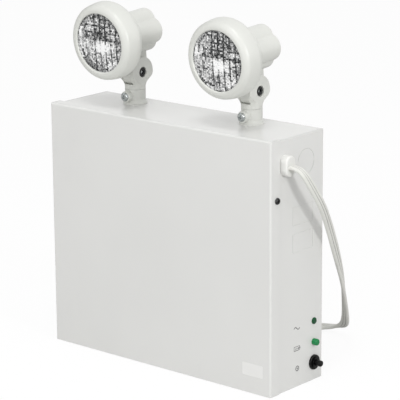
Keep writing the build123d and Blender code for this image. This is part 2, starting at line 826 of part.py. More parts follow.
def make_battery():
    """Sealed battery with a lid line, its two tabs, and the strap that holds it to the back."""
    battery = block((battery_left, battery_right), (battery_front, battery_back), (sheet, battery_top))
    battery = fillet(battery.edges().filter_by(Axis.Z), battery_round)
    middle_x = (battery_left + battery_right) / 2
    middle_y = (battery_front + battery_back) / 2
    groove = battery_lid_groove
    line = Box(battery_width, battery_depth, groove)
    line -= Box(battery_width - 2 * groove, battery_depth - 2 * groove, groove)
    battery -= Pos(middle_x, middle_y, battery_top - battery_lid) * line
    tabs = []
    for tab_x in (battery_left + terminal_inset, battery_right - terminal_inset):
        tab_y = around(battery_front + terminal_setback, terminal_width)
        tab_z = (battery_top, battery_top + terminal_height)
        tabs.append(block(around(tab_x, terminal_thickness), tab_y, tab_z))
    strap_z = around(strap_height, strap_width)
    left = battery_left - strap_gap
    right = battery_right + strap_gap
    strap_front = battery_front - strap_gap
    strap_x = (left - strap_thickness, right + strap_thickness)
    strap = block(strap_x, (strap_front - strap_thickness, inner_back), strap_z)
    strap -= block((left, right), (strap_front, inner_back), strap_z)
    foot_y = (inner_back - strap_thickness, inner_back)
    strap += block((strap_x[0] - strap_foot, left), foot_y, strap_z)
    strap += block((right, strap_x[1] + strap_foot), foot_y, strap_z)
    return battery, Compound(tabs), strap


def board_spot(place):
    """A place on the charger board's front face, looking forwards, with +X to its right."""
    origin = (board_left + place[0], board_face, board_bottom + place[1])
    return Plane(origin=origin, x_dir=(1, 0, 0), z_dir=(0, -1, 0)).location


def make_board():
    """Charger board on four standoffs, with the relay, terminal block and capacitor that stand on it."""
    board_x = (board_left, board_left + board_width)
    board_y = (board_face, board_face + board_thickness)
    board = block(board_x, board_y, (board_bottom, board_bottom + board_height))
    standoffs = []
    for x in (standoff_inset, board_width - standoff_inset):
        for z in (standoff_inset, board_height - standoff_inset):
            hole_radius = standoff_pin_radius + standoff_pin_clearance
            board -= board_spot((x, z)) * Cylinder(hole_radius, 4 * board_thickness)
            post = Cylinder(standoff_radius, standoff_height)
            pin = Pos(0, 0, -board_thickness / 2) * Cylinder(standoff_pin_radius, 2 * board_thickness)
            standoff = Pos(0, 0, -board_thickness - standoff_height / 2) * post + pin
            standoffs.append(board_spot((x, z)) * standoff)
    relay = board_spot(relay_place) * Pos(0, 0, relay_size[2] / 2) * Box(*relay_size)
    length, width, height = terminal_block_size
    strip = Pos(0, 0, height / 2) * Box(*terminal_block_size)
    for way in range(1, terminal_block_ways):
        x = length * (way / terminal_block_ways - 0.5)
        strip -= Pos(x, 0, height) * Box(terminal_block_groove, width, height / 2)
    strip = board_spot(terminal_block_place) * strip
    can = Pos(0, 0, capacitor_length / 2) * Cylinder(capacitor_radius, capacitor_length)
    can = board_spot(capacitor_place) * round_top(can, capacitor_round)
    return board, Compound(standoffs), relay, strip, can


def make_transformer():
    """Laminated core that stands on the bottom wall, with its winding round the middle leg."""
    core_y = (core_front, core_front + core_stack)
    core = block((core_left, core_left + core_width), core_y, (sheet, sheet + core_height))
    middle_z = sheet + core_height / 2
    window_width = core_width / 2 - 2 * core_leg
    window_height = core_height - 2 * core_leg
    for side in (-1, 1):
        centre_x = core_middle_x + side * (core_leg + window_width / 2)
        core -= Pos(centre_x, core_middle_y, middle_z) * Box(window_width, core_stack, window_height)
    coil_width = 2 * (core_leg + window_width - coil_clearance)
    coil = Box(coil_width, core_stack + 2 * coil_overhang, window_height - 2 * coil_clearance)
    coil = fillet(coil.edges().filter_by(Axis.Z), coil_round)
    coil -= Box(2 * (core_leg + coil_clearance), core_stack + 2 * coil_clearance, window_height)
    return core, Pos(core_middle_x, core_middle_y, middle_z) * coil


def make_leads():
    """The leads inside: from both battery tabs, from the cord outlet, and up through each post."""
    block_top = block_z + terminal_block_size[1] / 2
    block_bottom = block_z - terminal_block_size[1] / 2
    tab_y = battery_front + terminal_setback
    tab_top = battery_top + terminal_height
    first = battery_lead_first_bend
    second = battery_lead_second_bend
    tab_places = (battery_left + terminal_inset, battery_right - terminal_inset)
    from_battery = []
    for tab_x, entry, rise in zip(tab_places, battery_lead_entries, battery_lead_rises):
        entry_x = block_x + entry
        top = tab_top + rise
        route = [
            (tab_x, tab_y, tab_top),
            (tab_x, tab_y, top),
            (tab_x + first[0], tab_y + first[1], top + first[2]),
            (entry_x + second[0], block_lead_y + second[1], top + second[2]),
            (entry_x, block_lead_y, top + battery_lead_last_rise),
            (entry_x, block_lead_y, block_bottom),
        ]
        from_battery.append(tube(route, lead_radius)[0])
    inner_end = inner_side - bushing_collar - bushing_tail
    entry_x = block_x + mains_lead_entry
    bend = mains_lead_bend
    mains_route = [
        (inner_end, bushing_y, bushing_z),
        (inner_end - mains_lead_run, bushing_y, bushing_z),
        (entry_x + bend[0], block_lead_y + bend[1], bushing_z + bend[2]),
        (entry_x, block_lead_y, block_top + mains_lead_drop),
        (entry_x, block_lead_y, block_top),
    ]
    lead_top = body_top + post_bore_floor + wire_bore
    bore_end = body_top - nipple_length - head_lead_run
    heads = {}
    for side, post_x in post_places.items():
        entry_x = block_x + head_lead_entries[side]
        near_x = post_x + head_lead_share * (entry_x - post_x)
        far_x = entry_x - head_lead_share * (entry_x - post_x)
        route = [
            (post_x, post_y, lead_top),
            (post_x, post_y, bore_end),
            (near_x, post_y + head_lead_shift, bore_end - head_lead_fall),
            (far_x, block_lead_y - head_lead_shift, block_top + head_lead_drops[0]),
            (entry_x, block_lead_y, block_top + head_lead_drops[1]),
            (entry_x, block_lead_y, block_top),
        ]
        heads[side] = tube(route, lead_radius)[0]
    return Compound(from_battery), tube(mains_route, mains_lead_radius)[0], heads


def make_wound_cord():
    """The wound-up length as one ring, and the two bands that hold it and that it rests on."""
    height = cord_width + tie_clearance
    place = Pos(wound_x, wound_y, wound_bottom + height / 2)
    ring = Cylinder(wound_outer_radius, height)
    ring = fillet(ring.edges().filter_by(GeomType.CIRCLE), wound_round)
    ring -= Cylinder(wound_inner_radius, height)
    middle = (wound_outer_radius + wound_inner_radius) / 2
    inside_y = wound_outer_radius - wound_inner_radius + 2 * tie_clearance
    inside_z = height + 2 * tie_clearance
    band = Box(tie_width, inside_y + 2 * tie_thickness, inside_z + 2 * tie_thickness)
    band -= Box(tie_width, inside_y, inside_z)
    bands = [place * Pos(0, side * middle, 0) * band for side in (-1, 1)]
    return place * ring, Compound(bands)


def make_plug(path):
    """Moulded three-pin plug that lies on the floor at the end of a path, and its pins."""
    heading = path % 1
    place = Plane(origin=path @ 1, x_dir=(heading.Y, -heading.X, 0), z_dir=heading).location
    end = plug_nose_length + plug_length
    wide = Pos(0, 0, plug_nose_length) * RectangleRounded(plug_width, plug_thickness, plug_round)
    nose = RectangleRounded(*plug_nose, plug_nose[1] / 3)
    body = extrude(wide, amount=plug_length) + loft(Sketch() + [nose, wide])
    pins = [Pos(0, ground_drop, end + ground_length / 2) * Cylinder(ground_radius, ground_length)]
    for side in (-1, 1):
        blade = Box(blade_thickness, blade_width, blade_length)
        pins.append(Pos(side * blade_spacing / 2, -blade_rise, end + blade_length / 2) * blade)
    return place * body, Compound([place * pin for pin in pins])


# The lamp's own axis, from the front of the bezel backwards, as seen from the tilt axis
head_front = (0, -front_ahead_of_pivot, axis_above_pivot)
head_axis = Plane(origin=head_front, x_dir=(1, 0, 0), z_dir=(0, 1, 0)).location

cord_route = [(cord_exit[0] + x, cord_exit[1] + y, cord_exit[2] * share) for x, y, share in cord_hanging]
cord_route += [(wound_x + x, wound_y + y, z) for x, y, z in cord_landing]
tail_points = [(wound_x + x, wound_y + y, z) for x, y, z in tail_route]
cord, cord_path, cord_radii = tube(cord_route, cord_tube_radius)
tail, tail_path, tail_radii = tube(tail_points, cord_tube_radius)
switch_body, switch_nut, test_button = make_switch()
battery, battery_terminals, battery_strap = make_battery()
circuit_board, board_standoffs, relay, terminal_block, capacitor = make_board()
transformer_core, transformer_coil = make_transformer()
battery_leads, mains_lead, head_leads = make_leads()
cord_coil, cord_ties = make_wound_cord()
plug_body, plug_blades = make_plug(tail_path)

parts = {
    "body_pan": make_body_pan(),
    "front_cover": make_front_cover(),
    "cover_screws": make_cover_screws(),
    "cord_bushing": make_cord_bushing(),
    "ac_lamp": make_lamp(ac_lamp_z, ac_lamp_reach),
    "charge_lamp": make_lamp(charge_lamp_z, charge_lamp_reach),
    "lamp_clips": make_lamp_clips(),
    "switch_body": switch_body,
    "switch_nut": switch_nut,
    "test_button": test_button,
    "battery": battery,
    "battery_terminals": battery_terminals,
    "battery_strap": battery_strap,
    "circuit_board": circuit_board,
    "board_standoffs": board_standoffs,
    "relay": relay,
    "terminal_block": terminal_block,
    "capacitor": capacitor,
    "transformer_core": transformer_core,
    "transformer_coil": transformer_coil,
    "battery_leads": battery_leads,
    "mains_lead": mains_lead,
    "power_cord": cord,
    "cord_coil": cord_coil,
    "cord_ties": cord_ties,
    "cord_tail": tail,
    "plug_body": plug_body,
    "plug_blades": plug_blades,
}

# Both lamp heads are alike, and each stands on its own post
standing_parts = {
    "head_post": make_head_post(),
    "post_locknut": make_post_locknut(),
    "set_screw": make_set_screw(),
}
turning_parts = {
    "swivel": make_swivel(),
    "pivot_bolt": make_pivot_bolt(),
    "pivot_nut": make_pivot_nut(),
}
tilting_parts = {
    "rear_housing": make_rear_housing(),
    "bezel": head_axis * make_bezel(),
    "lens": head_axis * make_lens(),
    "reflector": head_axis * make_reflector(),
    "lamp_bulb": head_axis * make_lamp_bulb(),
    "lamp_socket": head_axis * make_lamp_socket(),
}
for side, post_x in post_places.items():
    parts[f"{side}_head_lead"] = head_leads[side]
    for name, shape in standing_parts.items():
        parts[f"{side}_{name}"] = Pos(post_x, post_y, body_top) * shape
    pivot = Pos(post_x, post_y, pivot_z)
    for name, shape in turning_parts.items():
        parts[f"{side}_{name}"] = pivot * shape
    for name, shape in tilting_parts.items():
        parts[f"{side}_{name}"] = pivot * Rot(rest_tilt, 0, 0) * shape

os.makedirs("parts", exist_ok=True)
for name, shape in parts.items():
    export_step(shape, f"parts/{name}.step")

for name, solid, path, radii in (
    ("power_cord", cord, cord_path, cord_radii),
    ("cord_tail", tail, tail_path, tail_radii),
):
    ratio = solid.volume / (math.pi * cord_tube_radius**2 * path.length)
    print(name, "length", round(path.length, 1), "mm, volume over section times length", round(ratio, 4))
    print(name, "radii", [round(radius, 1) for radius in radii])
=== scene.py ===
# %% [markdown]
# # A self-contained emergency light
#
# The real object is a flat sheet-steel cabinet that stands on a shelf or hangs on a wall. A battery and a charger are
# inside, two lamp heads turn on posts on top of it, and a flat white mains cord keeps the battery full. This lesson
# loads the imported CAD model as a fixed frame, adds what the frame leaves out (the flat cord, the prisms of the lenses,
# the paint in the knockouts and the printed signs), and gives each surface the finish that it has on the real thing.
# Blender works in metres here, in the frame's own place: +Z is up, and the lamps look along -Y.

# %% Load the frame
import math
import random

import bpy
from mathutils import Matrix, Vector


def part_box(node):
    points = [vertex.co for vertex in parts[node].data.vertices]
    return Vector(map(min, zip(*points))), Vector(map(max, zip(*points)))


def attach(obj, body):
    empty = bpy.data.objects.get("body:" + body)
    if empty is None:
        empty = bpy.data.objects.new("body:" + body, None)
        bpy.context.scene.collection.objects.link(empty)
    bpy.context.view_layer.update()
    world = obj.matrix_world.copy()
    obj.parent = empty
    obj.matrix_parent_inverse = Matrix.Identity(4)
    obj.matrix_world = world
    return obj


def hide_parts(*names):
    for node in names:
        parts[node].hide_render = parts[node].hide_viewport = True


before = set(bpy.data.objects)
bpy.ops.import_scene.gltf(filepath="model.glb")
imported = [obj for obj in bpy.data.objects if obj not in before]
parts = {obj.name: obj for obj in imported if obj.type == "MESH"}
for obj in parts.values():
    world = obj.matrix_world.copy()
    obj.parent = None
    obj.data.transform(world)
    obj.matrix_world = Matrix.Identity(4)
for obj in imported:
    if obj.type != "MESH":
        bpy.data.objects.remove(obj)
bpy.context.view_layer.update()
mm = 0.001

# %% [markdown]
# ## The camera
#
# The photograph was taken from the front right and a little above, with a long lens, so that the upright edges stay
# nearly parallel. A camera is placed by where it stands and the way that it looks: its back, right and up directions
# are the columns of a matrix. They are worked out from three angles, which is easier to read than nine numbers.

# %% Camera at the photograph's viewing angle
azimuth = math.radians(40.4254)
elevation = math.radians(14.736)
roll = math.radians(-0.4179)
camera_place = Vector((1.4370, -1.6612, 0.7580))
focal_length = 187.47
sensor_width = 36

backwards = Vector((
    math.sin(azimuth) * math.cos(elevation),
    -math.cos(azimuth) * math.cos(elevation),
    math.sin(elevation),
))
level_right = Vector((math.cos(azimuth), math.sin(azimuth), 0))
level_up = backwards.cross(level_right)
camera_right = math.cos(roll) * level_right + math.sin(roll) * level_up
camera_up = math.cos(roll) * level_up - math.sin(roll) * level_right

lens_data = bpy.data.cameras.new("photo_camera")
lens_data.lens = focal_length
lens_data.sensor_width = sensor_width
camera = bpy.data.objects.new("photo_camera", lens_data)
turned = Matrix((camera_right, camera_up, backwards)).transposed()
camera.matrix_world = Matrix.Translation(camera_place) @ turned.to_4x4()
bpy.context.scene.collection.objects.link(camera)
bpy.context.scene.camera = camera
bpy.context.scene.view_settings.view_transform = "Standard"
print("camera stands", round(camera_place.length, 2), "m from the origin")

# %% [markdown]
# ## The flat mains cord
#
# A three-core flat cord is moulded as three round ribs side by side, 10.5 mm wide and 4.2 mm thick. Its line is a
# smooth spline through the air and along the floor, close to the route of the plain tube in the CAD model. What the
# photograph doesn't show is wound up on edge behind the cabinet, three turns that lie side by side, and ends in the
# plug. A flat cord also needs to know which way its flat side looks at each point. So each point has a second value,
# the direction that the flat side faces, and a second spline with the same number of points runs through those
# directions. Both splines are read at the same places, which keeps the twist smooth and in step.

# %% The cord's points and the way that its flat side faces
cord_width = 10.5 * mm
cord_thickness = 4.2 * mm

UP = (0, 0, 1)
hanging = [
    ((163.1, -20.7, 246.3), (0, 0, 1)),
    ((171.5, -20.7, 246.3), (0.15, 0, 1)),
    ((178.0, -17.0, 239.0), (0.9, 0, 0.5)),
    ((181.0, -7.5, 223.5), (1, 0, 0.1)),
    ((181.0, 9.0, 202.0), (1, 0, 0)),
    ((173.5, 31.0, 174.0), (1, -0.2, 0)),
    ((161.0, 61.0, 135.5), (0.95, -0.15, 0)),
    ((144.5, 95.0, 95.0), (0.8, 0.3, 0.15)),
    ((123.0, 129.0, 54.5), (0.55, 0.8, 0.3)),
    ((106.0, 154.0, 28.0), (0.3, 0.7, 0.65)),
    ((92.5, 169.0, 13.0), (0.1, 0.35, 0.95)),
    ((75.5, 173.5, 6.8), (0.05, 0, 1)),
    ((60.0, 167.5, 5.6), (0.25, -0.2, 0.95)),
    ((51.9, 153.0, 5.8), (0.85, -0.3, 0.4)),
    ((51.4, 137.0, 6.3), (1, 0, 0)),
]
tail = [
    ((38.0, 126.0, 6.3), (1, 0, 0)),
    ((34.8, 108.3, 6.3), (0.95, -0.3, 0)),
    ((22.2, 89.1, 6.3), (0.7, -0.7, 0)),
    ((4.4, 76.1, 6.3), (0.4, -0.9, 0.1)),
    ((-14.6, 70.8, 6.6), (0, -0.95, 0.3)),
    ((-27.5, 71.5, 7.8), (-0.2, -0.75, 0.65)),
    ((-38.7, 78.0, 9.6), (-0.2, -0.3, 0.9)),
    ((-45.7, 88.8, 11.1), UP),
    ((-47.1, 101.6, 11.1), UP),
]

coil_middle = (-20.0, 122.0)
coil_outer = 71.9
coil_pitch = 4.6
coil_turns = 3
coil_height = 6.3
points_a_turn = 16

# %% [markdown]
# A spline of order 3 touches its control polygon only at the middle of each side, so a ring of control points has to
# stand a little outside the ring that it should give: by one over the cosine of half the step.

# %% The wound-up turns, outside to inside
wound = []
stand_off = 1 / math.cos(math.pi / points_a_turn)
for step in range(coil_turns * points_a_turn):
    turn = step / points_a_turn
    angle = -2 * math.pi * turn
    radius = (coil_outer - coil_pitch * turn) * (stand_off if step else 1)
    out = (math.cos(angle), math.sin(angle), 0)
    spot = (coil_middle[0] + radius * out[0], coil_middle[1] + radius * out[1], coil_height)
    wound.append((spot, out))
cord_points = hanging + wound + tail
print("cord control points:", len(cord_points))


def read_spline(points):
    """The places along a smooth spline of order 3 with these control points."""
    curve = bpy.data.curves.new("line", "CURVE")
    curve.dimensions = "3D"
    curve.resolution_u = 8
    spline = curve.splines.new("NURBS")
    spline.points.add(len(points) - 1)
    for control, point in zip(spline.points, points):
        control.co = (*point, 1)
    spline.order_u = 3
    spline.use_endpoint_u = True
    holder = bpy.data.objects.new("line", curve)
    line = bpy.data.meshes.new_from_object(holder)
    places = [vertex.co.copy() for vertex in line.vertices]
    bpy.data.objects.remove(holder)
    bpy.data.curves.remove(curve)
    bpy.data.meshes.remove(line)
    return places


cord_line = read_spline([Vector(point) * mm for point, face in cord_points])
cord_faces = read_spline([Vector(face).normalized() for point, face in cord_points])

# %% [markdown]
# The section is three circles that touch into each other, so the surface has two grooves on each flat side. It is drawn
# once, as points across and out of the flat side, and set square to the line at each place. The rings of vertices are
# then joined to one closed tube, with a cap at both ends that the bushing and the plug hide. Each vertex keeps how deep
# in a groove it is, for the material to darken the grooves with painted shade.

# %% The cord's section and its mesh
rib_radius = cord_thickness / 2
rib_step = cord_width / 2 - rib_radius
groove_width = 0.5 * mm
groove_angle = 60


def rib_arc(across, first, last, count):
    """Points on one rib's circle between two angles, in degrees from the way that the flat side faces."""
    angles = [math.radians(first + (last - first) * n / count) for n in range(count)]
    return [(across + rib_radius * math.sin(a), rib_radius * math.cos(a)) for a in angles]


groove = math.degrees(math.asin(rib_step / 2 / rib_radius))
section = rib_arc(0, -groove, groove, 6)
section += rib_arc(rib_step, -groove, 180 + groove, 15)
section += rib_arc(0, 180 - groove, 180 + groove, 6)
section += rib_arc(-rib_step, 180 - groove, 360 + groove, 15)


def ribbon(name, line, faces, outline):
    """A closed tube of this outline along a line, turned so that its top looks where the faces say."""
    vertices = []
    for n, place in enumerate(line):
        ahead = (line[min(n + 1, len(line) - 1)] - line[max(n - 1, 0)]).normalized()
        face = (faces[n] - faces[n].dot(ahead) * ahead).normalized()
        across = ahead.cross(face)
        vertices += [place + across * u + face * v for u, v in outline]
    size = len(outline)
    quads = []
    for ring in range(len(line) - 1):
        here, ahead = ring * size, ring * size + size
        for n in range(size):
            after = (n + 1) % size
            quads.append((here + n, ahead + n, ahead + after, here + after))
    quads.append(tuple(range(size)))
    quads.append(tuple(reversed(range(len(vertices) - size, len(vertices)))))
    mesh = bpy.data.meshes.new(name)
    mesh.from_pydata(vertices, [], quads)
    # The groove depth of each vertex, which the cord's material turns into painted shade.
    depth = mesh.attributes.new("groove", "FLOAT", "POINT")
    for n in range(len(vertices)):
        from_groove = abs(abs(outline[n % size][0]) - rib_step / 2)
        depth.data[n].value = max(0.0, 1 - from_groove / groove_width)
    tube = bpy.data.objects.new(name, mesh)
    bpy.context.scene.collection.objects.link(tube)
    return tube


def pick(*chosen):
    """Selects these objects alone, with the first one active."""
    bpy.ops.object.select_all(action="DESELECT")
    for item in chosen:
        item.select_set(True)
    bpy.context.view_layer.objects.active = chosen[0]


mains_cord = ribbon("mains_cord", cord_line, cord_faces, section)
pick(mains_cord)
bpy.ops.object.mode_set(mode="EDIT")
bpy.ops.mesh.select_all(action="SELECT")
bpy.ops.mesh.normals_make_consistent(inside=False)
bpy.ops.object.mode_set(mode="OBJECT")
bpy.ops.object.shade_smooth_by_angle(angle=math.radians(groove_angle))
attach(mains_cord, "cabinet")
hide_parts("power_cord", "cord_coil", "cord_tail")

# %% [markdown]
# ## Finishes
#
# Every material below is built from nodes. Colours are written as sRGB hex values, the way that a colour picker shows
# them, and one function turns them into the linear values that a shader works with. One more small function adds a
# node, sets it and links it, so that each material reads as a short list.


# %% Two helpers for materials
def colour(hex_value):
    """A shader colour from an sRGB hex value."""
    channels = [int(hex_value[n:n + 2], 16) / 255 for n in (1, 3, 5)]
    linear = [c / 12.92 if c <= 0.04045 else ((c + 0.055) / 1.055) ** 2.4 for c in channels]
    return (*linear, 1)


def add(material, kind, settings=None, links=None):
    """A new node in a material. A setting is one of its own or the value of an input, and a link feeds an input."""
    new = material.node_tree.nodes.new(kind)
    for name, value in (settings or {}).items():
        if isinstance(name, str) and hasattr(new, name):
            setattr(new, name, value)
        else:
            new.inputs[name].default_value = value
    for name, source in (links or {}).items():
        material.node_tree.links.new(source, new.inputs[name])
    return new


def start(name):
    """An empty node material, and the place on the piece that its patterns read."""
    material = bpy.data.materials.new(name)
    material.use_nodes = True
    material.node_tree.nodes.clear()
    return material, add(material, "ShaderNodeTexCoord").outputs["Object"]


def blend(material, factor, low, high, first, last):
    """A colour that goes from one hex value to another while a factor goes between two levels."""
    ramp = add(material, "ShaderNodeValToRGB", links={"Fac": factor})
    ramp.color_ramp.elements[0].position = first
    ramp.color_ramp.elements[0].color = colour(low)
    ramp.color_ramp.elements[1].position = last
    ramp.color_ramp.elements[1].color = colour(high)
    return ramp.outputs["Color"]


def finish(material, settings, links):
    """Ends a material in one Principled shader."""
    shader = add(material, "ShaderNodeBsdfPrincipled", settings, links)
    add(material, "ShaderNodeOutputMaterial", links={"Surface": shader.outputs["BSDF"]})
    return material


def dress(material, *names):
    """Gives CAD nodes this material."""
    for name in names:
        mesh = parts[name].data
        mesh.materials.clear()
        mesh.materials.append(material)


# %% [markdown]
# ## Painted sheet steel
#
# The cabinet is steel sheet with baked white enamel. Sprayed enamel dries with a faint orange peel, waves a few
# millimetres across, which shows as a soft unevenness in the reflections and not as a texture. Baked white also
# varies a little in tone over a hand's width. A low bump and two close tones give both.

# %% Baked enamel
enamel, place = start("baked_enamel")
tone = add(enamel, "ShaderNodeTexNoise", {"Scale": 9.0, "Detail": 2.0}, {"Vector": place})
paint = blend(enamel, tone.outputs["Fac"], "#DDDDDB", "#E1E1DF", 0.2, 0.8)
peel = add(enamel, "ShaderNodeTexNoise", {"Scale": 1 / (3.2 * mm), "Detail": 1.0}, {"Vector": place})
rough = add(
    enamel,
    "ShaderNodeMapRange",
    {"From Min": 0.2, "From Max": 0.8, "To Min": 0.20, "To Max": 0.26},
    {"Value": tone.outputs["Fac"]},
)
bump = add(enamel, "ShaderNodeBump", {"Strength": 0.35, "Distance": 0.03 * mm}, {"Height": peel.outputs["Fac"]})
finish(
    enamel,
    {"IOR": 1.5},
    {"Base Color": paint, "Roughness": rough.outputs["Result"], "Normal": bump.outputs["Normal"]},
)
dress(enamel, "body_pan", "front_cover")

# %% [markdown]
# ## Moulded plastics
#
# The lamp heads, forks and posts are moulded ABS, a white that is a little greyer than the enamel. The mould is
# spark-eroded, so the skin has a very fine even grain and a satin gloss. The bushing and the ties are nylon, and the
# cord is soft PVC.


# %% ABS, nylon and PVC
def moulded(name, low, high, grain, depth, roughness, shade=None, **extra):
    """A moulded plastic with a grain of this size and depth, in millimetres, and painted shade of another colour in its
    grooves if any.
    """
    material, place = start(name)
    drift = add(material, "ShaderNodeTexNoise", {"Scale": 22.0, "Detail": 2.0}, {"Vector": place})
    body = blend(material, drift.outputs["Fac"], low, high, 0.3, 0.7)
    # Painted shade: the grooves get a darker colour, for the shade that falls in them.
    if shade:
        stored = {"attribute_name": "groove", "attribute_type": "GEOMETRY"}
        groove = add(material, "ShaderNodeAttribute", stored)
        factors = {0: groove.outputs["Fac"], 6: body}
        dark = add(material, "ShaderNodeMix", {"data_type": "RGBA", 7: colour(shade)}, factors)
        body = dark.outputs[2]
    skin = add(material, "ShaderNodeTexNoise", {"Scale": 1 / (grain * mm), "Detail": 1.0}, {"Vector": place})
    relief = {"Strength": 0.4, "Distance": depth * mm}
    bump = add(material, "ShaderNodeBump", relief, {"Height": skin.outputs["Fac"]})
    settings = {"Roughness": roughness, "IOR": 1.53}
    settings.update(extra)
    return finish(material, settings, {"Base Color": body, "Normal": bump.outputs["Normal"]})


abs_white = moulded("moulded_abs", "#D6D7D2", "#DCDDD8", 1.4, 0.02, 0.34)
nylon_white = moulded("moulded_nylon", "#E2E2DE", "#E8E8E5", 1.2, 0.02, 0.42)
pvc_white = moulded("soft_pvc", "#DBDBD6", "#E1E1DC", 2.4, 0.03, 0.46, shade="#8F8F8A")
black_plastic = moulded("black_acetal", "#040404", "#0A0A0B", 1.0, 0.02, 0.3, **{"Specular IOR Level": 0.2})
mains_cord.data.materials.append(pvc_white)
dress(pvc_white, "mains_lead", "plug_body")
dress(nylon_white, "cord_bushing", "cord_ties", "terminal_block")
dress(black_plastic, "switch_body", "switch_nut", "test_button", "capacitor")
for side in ("left", "right"):
    dress(abs_white, *(f"{side}_{name}" for name in ("head_post", "swivel", "rear_housing", "bezel")))
    dress(black_plastic, f"{side}_post_locknut", f"{side}_head_lead")
dress(black_plastic, "battery_leads")


# %% [markdown]
# ## Metals
#
# A zinc-plated screw is bright with a bluish cast. Its plating is a little cloudy, which a noise on the roughness
# gives. The cover screws and the pivot bolts have a black oxide finish, which is dark but still metal.


# %% Plated and blackened metals
def metal(name, low, high, smooth, cloudy, patch, **extra):
    """A metal whose gloss changes over patches of this size, in millimetres."""
    material, place = start(name)
    cloud = add(material, "ShaderNodeTexNoise", {"Scale": 1 / (patch * mm), "Detail": 3.0}, {"Vector": place})
    tint = blend(material, cloud.outputs["Fac"], low, high, 0.3, 0.7)
    gloss = add(
        material,
        "ShaderNodeMapRange",
        {"From Min": 0.3, "From Max": 0.7, "To Min": smooth, "To Max": cloudy},
        {"Value": cloud.outputs["Fac"]},
    )
    settings = {"Metallic": 1.0}
    settings.update(extra)
    return finish(material, settings, {"Base Color": tint, "Roughness": gloss.outputs["Result"]})


zinc = metal("zinc_plated_steel", "#9FA6A8", "#D3D6D5", 0.10, 0.22, 1.2)
oil = {"Coat Weight": 1.0, "Coat Roughness": 0.08}
black_oxide = metal("black_oxide_steel", "#0C0D0E", "#1C1E20", 0.18, 0.3, 1.2, **oil)
tin = metal("tinned_brass", "#B9B39A", "#D5CFB6", 0.2, 0.36, 2.0)
lamination = metal("core_lamination", "#3A3B3D", "#515355", 0.4, 0.6, 3.0)
aluminised = metal("aluminised_reflector", "#C4C7C9", "#E6E8E9", 0.05, 0.12, 6.0)
copper = metal("enamelled_copper", "#6B3A20", "#8E5230", 0.3, 0.45, 1.5)
dress(black_oxide, "cover_screws")
dress(zinc, "battery_strap", "lamp_clips", "board_standoffs")
dress(tin, "battery_terminals", "plug_blades")
dress(lamination, "transformer_core")
dress(copper, "transformer_coil")
for side in ("left", "right"):
    dress(zinc, f"{side}_set_screw")
    dress(black_oxide, f"{side}_pivot_bolt", f"{side}_pivot_nut")
    dress(aluminised, f"{side}_reflector")

# %% The pieces inside the cabinet
battery_case = moulded("battery_abs", "#333437", "#3C3D41", 1.6, 0.03, 0.5)
board = moulded("solder_mask", "#1B5A34", "#226B3F", 2.0, 0.01, 0.3)
relay_case = moulded("relay_polyester", "#24408C", "#2A4A9C", 1.2, 0.01, 0.3)
phenolic = moulded("brown_phenolic", "#3B271B", "#4A3223", 1.0, 0.02, 0.4)
dress(battery_case, "battery")
dress(board, "circuit_board")
dress(relay_case, "relay")
dress(phenolic, "left_lamp_socket", "right_lamp_socket")


# %% [markdown]
# ## Clear and coloured plastics
#
# The indicator lamps are clear green acrylic over a small light source, and the head's lens is clear polycarbonate.
# Both let light through, so they get transmission with the plastic's own IOR. The green ones are tinted so deeply that
# they look nearly black at the rim and bright where the light leaves them.


# %% Clear plastics
def clear(name, tint, roughness, transmission, ior):
    """A clear plastic with a faint flow pattern in its gloss."""
    material, place = start(name)
    flow = add(material, "ShaderNodeTexNoise", {"Scale": 1 / (5 * mm), "Detail": 1.0}, {"Vector": place})
    gloss = add(
        material,
        "ShaderNodeMapRange",
        {"From Min": 0.3, "From Max": 0.7, "To Min": roughness, "To Max": roughness + 0.04},
        {"Value": flow.outputs["Fac"]},
    )
    settings = {"Base Color": colour(tint), "Transmission Weight": transmission, "IOR": ior}
    settings["Specular IOR Level"] = 0.35
    return finish(material, settings, {"Roughness": gloss.outputs["Result"]})


lens_plastic = clear("clear_polycarbonate", "#FAFCFC", 0.01, 1.0, 1.3)
bulb_glass = clear("bulb_glass", "#F4F6F6", 0.0, 1.0, 1.2)
green_dark = clear("dark_green_acrylic", "#06512C", 0.12, 0.2, 1.49)
green_bright = clear("green_acrylic", "#1C8F50", 0.12, 0.2, 1.49)
dress(green_dark, "ac_lamp")
dress(green_bright, "charge_lamp")
for side in ("left", "right"):
    dress(lens_plastic, f"{side}_lens")
    dress(bulb_glass, f"{side}_lamp_bulb")

# %% [markdown]
# ## The prismatic lenses
#
# From outside, an emergency lamp shows neither its bulb nor a smooth mirror. The clear lens is moulded with rows of
# small prisms over the bright dish, and each one shows another part of the dish and of the room: one is white, and its
# neighbour is nearly black. A real lens would need thousands of light paths for each prism. Here its sparkle is mostly
# painted on and not an optical result: the tones are fixed to the prisms, and they suit a view from the front right.
# A grid is trimmed to a disc and pulled up to a shallow dome, each square is inset and raised to a blunt prism, and
# each prism gets its own tone, which is kept in an attribute of the mesh for the material to read.

# %% Where each head is
post_x = {"left": -86.0 * mm, "right": 80.0 * mm}
head_tilt = math.radians(4.0)
bezel_front = Vector((0, -0.0552, 0.0432))
prism_size = 1.9 * mm
lens_radius = 34.3 * mm
lens_rim_depth = 2.0 * mm
lens_rise = 1.6 * mm
prism_count = 37
prism_margin = 0.5 * mm
prism_height = 0.35 * mm
lens_wall = 1.2 * mm


def pivot_of(side):
    """The middle of a tilt joint, on the axis of its bolt."""
    low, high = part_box(f"{side}_pivot_bolt")
    return Vector((post_x[side], (low.y + high.y) / 2, (low.z + high.z) / 2))


def head_place(side):
    """The frame of a lamp head: from the middle of the bezel's front, X to the right, Y up and Z forwards."""
    axes = Matrix(((1, 0, 0), (0, 0, -1), (0, 1, 0))).to_4x4()
    lean = Matrix.Rotation(head_tilt, 4, "X")
    return Matrix.Translation(pivot_of(side)) @ lean @ Matrix.Translation(bezel_front) @ axes
